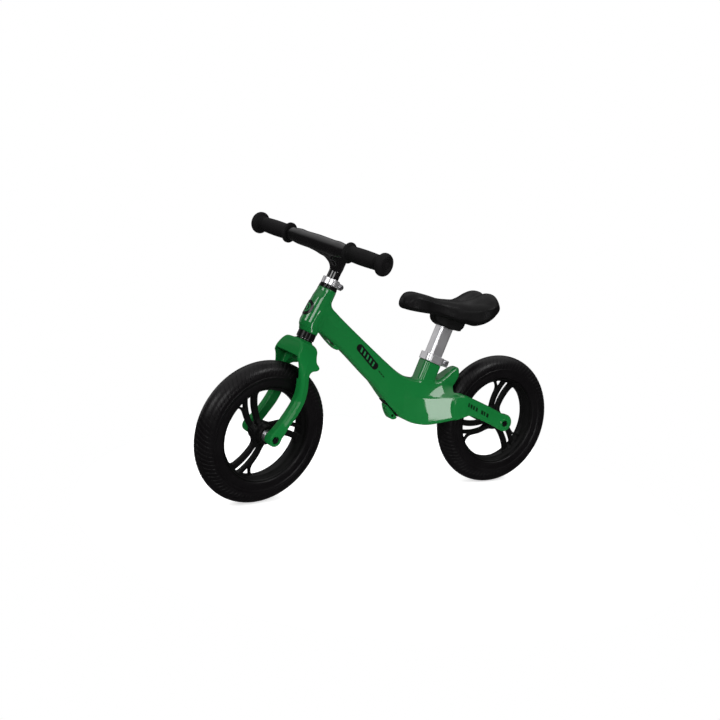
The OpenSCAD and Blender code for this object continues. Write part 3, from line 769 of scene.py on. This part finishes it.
# Along the saddle: half its width, how far the skirt hangs down at its outer edge, and the edge radius.
WIDE_X = [41, 66, 85, 105, 125, 145, 172, 205, 240, 262, 283]
WIDE_HALF = [40, 65, 69, 65, 54, 41, 31, 27, 27, 24, 8]
SKIRT_X, SKIRT_DROP = [90, 108, 130, 152, 175, 200], [0, 3, 11, 17, 9, 0]
EDGE_X, EDGE_R = [41, 120, 200, 283], [15, 14, 11, 10]


def swell(v, middle, reach):
    """A smooth bump, 1 high at the middle."""
    return np.exp(-((v - middle) / reach) ** 2)


def saddle_field(x, y, z):
    """A crowned top with a groove between two lobes at the rear, and a skirt that hangs low at its sides."""
    side = np.abs(y)
    share = np.clip(side / np.interp(x, WIDE_X, WIDE_HALF), 0, 1.2)
    rear = ramp(x, 150, 90)
    rear = rear * rear * (3 - 2 * rear)
    groove = swell(y, 0, 10.0) * (4.5 * rear + 1.5)
    hump = swell(side, 34, 17.0) * 3.0 * rear
    crown = (5.5 + 8.5 * rear + 6.0 * swell(x, 122, 24)) * share ** 2.0
    top = ramp(z, 398, 420)
    skirt = np.interp(x, SKIRT_X, SKIRT_DROP) * share ** 1.5
    lifted = z + top * (crown + groove - hump) + (1 - top) * skirt * 0.6
    return rounded_pair(SADDLE_SIDE(x, lifted), SADDLE_PLAN(x, y), np.interp(x, EDGE_X, EDGE_R))


def saddle():
    obj = cast("saddle_pad", "saddle", BIKE, saddle_field, (34, -74, 366), (290, 74, 446), 1.7, SADDLE)
    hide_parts("saddle_cushion")


BASE_SIDE = Outline([
    [196, 396], [194.5, 373], [151, 356], [127, 356.5], [120, 374], [123, 388], [150, 392], [190, 396]],
    8, 0.6)
BASE_X, BASE_HALF = [118, 170, 197], [24, 19, 11]
POST_HOLE_HALF, POST_HOLE_R, POST_TOP = (16.7, 14.2), 6.2, 90.4


def base_field(x, y, z):
    u, w = tilted(x, z, SEAT_FOOT, SEAT_TILT)
    d = rounded_pair(BASE_SIDE(x, z), np.abs(y) - np.interp(x, BASE_X, BASE_HALF), 3.5)
    rib = rounded_box(x, y, z, (130, 0, 359), (4.5, 15, 5), 1.5)
    d = smooth_min(d, rib, 2.0)
    return smooth_max(d, -np.maximum(rounded_rect(u, y, POST_HOLE_HALF, POST_HOLE_R), w - POST_TOP), 0.8)


def saddle_seat_base():
    obj = cast("saddle_clamp_base", "saddle", BIKE, base_field, (106, -28, 346), (220, 28, 402), 1.2, PLASTIC)
    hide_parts("saddle_base")


# ---------------------------------------------------------------- clamps, bolts and the bracket

COLLAR_HALF, COLLAR_LOW, COLLAR_HIGH = (23.5, 20.5), 0.3, 17.1
COLLAR_BOLT = (-32, 9.3)
CLAMP_R, CLAMP_BORE_R, CLAMP_LOW, CLAMP_HIGH = 18, 14.4, 321.6, 336.0
CLAMP_BOLT = (-25, 328.6)


def collar_field(u, y, w):
    d = rounded_pair(rounded_rect(u, y, COLLAR_HALF, SOCKET_R + 1), band(w, COLLAR_LOW, COLLAR_HIGH), 1.2)
    ear = rounded_box(u, y, w, (-28, 0, 9.3), (12.5, 10.5, 7.5), 1.6)
    d = smooth_min(d, ear, 2.0)
    d = smooth_max(d, -rounded_rect(u, y, POST_HALF, POST_R), 0.8)
    slot = np.maximum(np.abs(y) - 1.2, u + 12)
    d = smooth_max(d, -slot, 0.6)
    return smooth_max(d, 3.1 - np.hypot(u - COLLAR_BOLT[0], w - COLLAR_BOLT[1]), 0.5)


def clamp_field(f, y, s):
    d = rounded_pair(np.hypot(f, y) - CLAMP_R, band(s, CLAMP_LOW, CLAMP_HIGH), 1.2)
    ear = rounded_box(f, y, s, (-22, 0, 328.8), (10, 9, 6.2), 1.6)
    d = smooth_min(d, ear, 2.0)
    d = smooth_max(d, CLAMP_BORE_R - np.hypot(f, y), 0.6)
    slot = np.maximum(np.abs(y) - 1.0, f + 12)
    d = smooth_max(d, -slot, 0.6)
    return smooth_max(d, 2.6 - np.hypot(f - CLAMP_BOLT[0], s - CLAMP_BOLT[1]), 0.5)


BRACKET, BRACKET_LEAN, BRACKET_HALF = (264.5, 168.6), math.radians(44.3), 11.0
BRACKET_SIDE = Outline([
    [0, 1.7], [43, 1.7], [39, 5], [32, 9], [24, 12.5], [15, 15], [8, 15.5], [2.5, 13], [-2, 6]], 6, 0.5)
CROSS_BORE, CROSS_BORE_R = (11, 8.4), 3.2
SCREWS_U, SCREW_HOLE_R = (20.5, 31), 3.4


def bracket_field(x, y, z):
    dx, dz = x - BRACKET[0], z - BRACKET[1]
    u = dx * math.cos(BRACKET_LEAN) + dz * math.sin(BRACKET_LEAN)
    out = dx * math.sin(BRACKET_LEAN) - dz * math.cos(BRACKET_LEAN)
    d = rounded_pair(BRACKET_SIDE(u, out), np.abs(y) - BRACKET_HALF, 2.2)
    d = smooth_max(d, CROSS_BORE_R - np.hypot(u - CROSS_BORE[0], out - CROSS_BORE[1]), 0.6)
    for screw_u in SCREWS_U:
        d = smooth_max(d, -np.maximum(np.hypot(u - screw_u, y) - SCREW_HOLE_R, 5 - out), 0.5)
    return d


SMALL_CASTINGS = (
    ("seat_collar_ring", "seat_collar", "frame", SEAT, collar_field, (-43, -23, -2), (26, 23, 20), SILVER),
    ("stem_clamp_ring", "stem_clamp", "clamp", BAR, clamp_field, (-36, -21, 318), (21, 21, 340), SILVER),
    ("stand_bracket_lug", "stand_bracket", "frame", BIKE, bracket_field, (254, -14, 148), (314, 14, 216),
     GREEN))


def small_castings():
    for name, node, body, m, field, low, high, material in SMALL_CASTINGS:
        obj = cast(name, body, m, field, low, high, 0.8, material)
        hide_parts(node)


LOOKS = (
    (BLACK_METAL, ("lower_headset_cup", "upper_headset_cup", "headset_cap", "crown_race", "bracket_plate")),
    (STEEL, ("lower_bearing", "upper_bearing", "seat_collar_bolt", "bracket_screws", "rear_axle",
             "front_axle", "rear_hub_sleeve", "front_hub_sleeve", "steerer_tube", "stem_clamp_bolt",
             "saddle_screws", "rear_left_bearing", "rear_right_bearing", "front_left_bearing",
             "front_right_bearing")),
    (DARK_STEEL, ("rear_axle_screws", "front_axle_screws")),
    (SILVER, ("rear_spacers", "front_spacers", "seat_post")))


def dress_cad():
    """Better materials for the CAD nodes whose shape stays."""
    for material, nodes in LOOKS:
        for node in nodes:
            for slot in frame["nodes"][node].material_slots:
                slot.material = material


# ---------------------------------------------------------------- prints and badge, laid on the paint

def face_outwards(obj, join_ends=False):
    """Turns a print's faces outwards. A ring's ends are joined first, and the walls between them dropped."""
    bm = bmesh.new()
    bm.from_mesh(obj.data)
    if join_ends:
        bmesh.ops.remove_doubles(bm, verts=bm.verts, dist=1e-5)
        seen = {}
        for face in list(bm.faces):
            seen.setdefault(tuple(sorted(v.index for v in face.verts)), []).append(face)
        doubled = [face for faces in seen.values() if len(faces) > 1 for face in faces]
        bmesh.ops.delete(bm, geom=doubled, context="FACES_ONLY")
    bmesh.ops.recalc_face_normals(bm, faces=bm.faces)
    bm.to_mesh(obj.data)
    bm.free()


SINK = 0.0004  # how far a print's back lies under the paint, in metres


def lay(name, tree, rows, direction, material, lift):
    """A thin print on the frame: rows of points thrown along direction onto the paint, then made thick."""
    rows = np.array(rows)
    n, k = rows.shape[:2]
    aim = Vector(direction)
    hits = [tree.ray_cast(Vector(p), aim)[:2] for p in rows.reshape(-1, 3)]
    points = [list(spot + normal * lift) for spot, normal in hits]
    points += [list(spot - normal * SINK) for spot, normal in hits]
    faces = []
    half = n * k
    for i in range(n - 1):
        for j in range(k - 1):
            a = i * k + j
            faces.append((a, a + 1, a + k + 1, a + k))
            faces.append((half + a, half + a + k, half + a + k + 1, half + a + 1))
    rim = list(range(k)) + [i * k + k - 1 for i in range(1, n)]
    rim += [(n - 1) * k + j for j in range(k - 2, -1, -1)] + [i * k for i in range(n - 2, 0, -1)]
    for a, b in zip(rim, rim[1:] + rim[:1]):
        faces.append((a, half + a, half + b, b))
    obj = make(name, points, faces, "frame")
    face_outwards(obj)
    obj.data.set_sharp_from_angle(angle=math.radians(50))
    dress(obj, material)
    return obj


OUTSIDE = 90  # from the bike's middle plane, beyond every casting


def strip(start, end, half, side, slant=0.0, round_ends=False, steps=(26, 9)):
    """Rows of points outside the frame for a straight mark on the bike's side view, from start to end."""
    along = end - start
    length = np.linalg.norm(along)
    along = along / length
    across = column([-along[1], along[0]])
    rows = []
    for i in range(steps[0]):
        t = i / (steps[0] - 1)
        reach = half
        if round_ends:
            t = (1 - math.cos(math.pi * t)) / 2
            near = min(t, 1 - t) * length
            reach = half * math.sqrt(max(1 - max(1 - near / half, 0) ** 2, 1e-4))
        row = []
        for j in range(steps[1]):
            v = 2 * j / (steps[1] - 1) - 1
            p = start + along * (t * length + slant * v) + across * reach * v
            row.append(to_row(column([p[0], side * OUTSIDE, p[1]]), BIKE))
        rows.append(row)
    return rows


PILL_START, PILL_END, PILL_L = column([383, 326]), column([332, 276]), 71.4
PILL_ALONG = (PILL_END - PILL_START) / PILL_L
DASH_START, DASH_STEP, DASH_ALONG = column([327.5, 271]), column([-5.2, -5.1]), column([-4.2, -4.0])
STAY_START, STAY_STEP, STAY_ALONG = column([109, 197]), column([-9.0, -4.3]) * 0.86, column([-0.9, -0.43])
STAY_MARKS = (4.4, 5.4, 4.4, 5.4, 0, 6.4, 4.4, 6.4)  # the length of each block on the stay, 0 for a gap


def prints(shell):
    """Plain marks in place of lettering: a pill with slanted bars, dashes, and blocks on the stay."""
    tree = BVHTree.FromObject(shell, bpy.context.evaluated_depsgraph_get())
    for side, word in ((1, "left"), (-1, "right")):
        aim = (0, -side, 0)
        pill = strip(PILL_START, PILL_END, 7.5, side, round_ends=True)
        lay("beam_pill_" + word, tree, pill, aim, BADGE_BLACK, 0.00022)
        for k in range(5):
            t = 0.2 + 0.15 * k
            middle = PILL_START * (1 - t) + PILL_END * t
            rows = strip(middle - PILL_ALONG * 2.3, middle + PILL_ALONG * 2.3, 4.2, side, 2.0, steps=(4, 7))
            lay(f"pill_bar_{word}_{k}", tree, rows, aim, PRINT_LIGHT, 0.00034)
        for k in range(3):
            a = DASH_START + DASH_STEP * k
            rows = strip(a, a + DASH_ALONG, 1.1, side, steps=(4, 3))
            lay(f"beam_dash_{word}_{k}", tree, rows, aim, PRINT_GREEN, 0.0002)
        for k, length in enumerate(STAY_MARKS):
            if length:
                b = STAY_START + STAY_STEP * k
                rows = strip(b, b + STAY_ALONG * length, 4.2, side, 1.5, steps=(5, 5))
                lay(f"stay_dash_{word}_{k}", tree, rows, aim, PRINT_GREEN, 0.0002)


BADGE_S, BADGE_ROWS, BADGE_SEGMENTS = 264, 5, 48
# Each ring of the badge: name, inner and outer radius, material, and how far it stands out in metres.
BADGE_RINGS = (("badge_rim", 10.0, 16.2, BADGE_BLACK, 0.0011), ("badge_face", 0.3, 10.0, PRINT_LIGHT, 0.0006),
               ("badge_mark", 4.2, 6.6, BADGE_BLACK, 0.0009))


def head_badge(shell):
    """A round badge wrapped on the head tube's nose: a black rim, a green face and a plain ring on it."""
    tree = BVHTree.FromObject(shell, bpy.context.evaluated_depsgraph_get())
    aim = -HEAD[:3, 0] / MM
    for name, inner_r, outer_r, material, lift in BADGE_RINGS:
        rows = []
        for i in range(BADGE_ROWS):
            r = inner_r + (outer_r - inner_r) * i / (BADGE_ROWS - 1)
            row = []
            for j in range(BADGE_SEGMENTS + 1):
                a = 2 * math.pi * j / BADGE_SEGMENTS
                across = NOSE_R * math.sin(r * math.cos(a) / NOSE_R)
                row.append(to_row(column([60, across, BADGE_S + r * math.sin(a)]), HEAD))
            rows.append(row)
        obj = lay(name, tree, rows, aim, material, lift)
        face_outwards(obj, join_ends=True)
        if name == "badge_rim":
            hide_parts("head_badge")


# ---------------------------------------------------------------- studio

FLOOR_R, AIM_Z = 0.64, 0.26  # the floor's radius, and the height of the bike's middle, in metres


def stage():
    bpy.ops.mesh.primitive_circle_add(vertices=128, radius=FLOOR_R, fill_type="NGON", location=(0, 0, 0))
    floor = bpy.context.active_object
    floor.name = "floor"
    mat = bpy.data.materials.new("pale_floor")
    mat.use_nodes = True
    shader = mat.node_tree.nodes["Principled BSDF"]
    shader.inputs["Base Color"].default_value = (0.86, 0.86, 0.86, 1)
    shader.inputs["Emission Color"].default_value = (1, 1, 1, 1)
    shader.inputs["Emission Strength"].default_value = 0.62
    shader.inputs["Roughness"].default_value = 0.9
    shader.inputs["Specular IOR Level"].default_value = 0.1
    floor.data.materials.append(mat)
    floor.visible_glossy = False


def softbox(name, az, el, away, size, power):
    """A soft box in the direction az, el from the middle of the bike, in degrees."""
    a, e = math.radians(az), math.radians(el)
    flat = away * math.cos(e)
    spot = Vector((flat * math.cos(a), flat * math.sin(a), AIM_Z + away * math.sin(e)))
    light = bpy.data.lights.new(name, "AREA")
    light.shape = "RECTANGLE"
    light.size, light.size_y = size
    light.energy = power
    obj = bpy.data.objects.new(name, light)
    obj.location = spot
    obj.rotation_euler = (Vector((0, 0, AIM_Z)) - spot).to_track_quat("-Z", "Y").to_euler()
    bpy.context.scene.collection.objects.link(obj)


def lights():
    softbox("key_box", 67, 17, 2.3, (0.9, 0.55), 12)
    softbox("front_box", 14, 26, 2.3, (0.9, 0.55), 13)
    softbox("flank_box", 102, -5.5, 2.0, (0.34, 0.27), 3)
    softbox("upper_flank_box", 121, 35, 2.0, (0.6, 0.6), 9)
    softbox("far_box", -58, 14, 2.2, (1.3, 1.1), 3.2)
    world = bpy.data.worlds.new("studio")
    world.use_nodes = True
    nodes, links = world.node_tree.nodes, world.node_tree.links
    sky = nodes["Background"]
    # A soft overhead dome that falls off towards the sides of the room.
    where = nodes.new("ShaderNodeTexCoord")
    split = nodes.new("ShaderNodeSeparateXYZ")
    dome = nodes.new("ShaderNodeMapRange")
    dome.interpolation_type = "SMOOTHSTEP"
    for key, value in (("From Min", 0.35), ("From Max", 0.85), ("To Min", 0.05), ("To Max", 1.1)):
        dome.inputs[key].default_value = value
    links.new(where.outputs["Generated"], split.inputs["Vector"])
    links.new(split.outputs["Z"], dome.inputs["Value"])
    links.new(dome.outputs["Result"], sky.inputs["Strength"])
    sky.inputs["Color"].default_value = (1, 1, 1, 1)
    backdrop = nodes.new("ShaderNodeBackground")
    backdrop.inputs["Color"].default_value = (1, 1, 1, 1)
    choose = nodes.new("ShaderNodeMixShader")
    path = nodes.new("ShaderNodeLightPath")
    links.new(path.outputs["Is Camera Ray"], choose.inputs["Fac"])
    links.new(sky.outputs["Background"], choose.inputs[1])
    links.new(backdrop.outputs["Background"], choose.inputs[2])
    links.new(choose.outputs["Shader"], nodes["World Output"].inputs["Surface"])
    bpy.context.scene.world = world


CAMERA_AZ, CAMERA_EL, CAMERA_ROLL = math.radians(59.86), math.radians(10.58), math.radians(5.10)
CAMERA_AWAY = 1.87528
CAMERA_AIM = column([0.36423, 0.0, 0.29105])  # in the bike's own frame, from the ground under the rear axle
LENS, SENSOR = 45.144, 36.0


def camera():
    back = column([math.cos(CAMERA_AZ) * math.cos(CAMERA_EL), math.sin(CAMERA_AZ) * math.cos(CAMERA_EL),
                   math.sin(CAMERA_EL)])
    right = np.cross(-back, [0, 0, 1])
    right /= np.linalg.norm(right)
    up = np.cross(right, -back)
    c, s = math.cos(CAMERA_ROLL), math.sin(CAMERA_ROLL)
    m = np.eye(4)
    m[:3, 0] = c * right + s * up
    m[:3, 1] = -s * right + c * up
    m[:3, 2] = back
    m[:3, 3] = BIKE[:3, 3] + CAMERA_AIM + back * CAMERA_AWAY
    data = bpy.data.cameras.new("camera")
    data.lens, data.sensor_width = LENS, SENSOR
    obj = bpy.data.objects.new("camera", data)
    obj.matrix_world = Matrix(m.tolist())
    bpy.context.scene.collection.objects.link(obj)
    bpy.context.scene.camera = obj


camera()
stage()
lights()
bpy.context.scene.view_settings.view_transform = "Standard"
shell = cast_frame()
beam_tab()
cast_fork()
handlebar()
grips()
wheels()
saddle()
saddle_seat_base()
small_castings()
dress_cad()
prints(shell)
head_badge(shell)
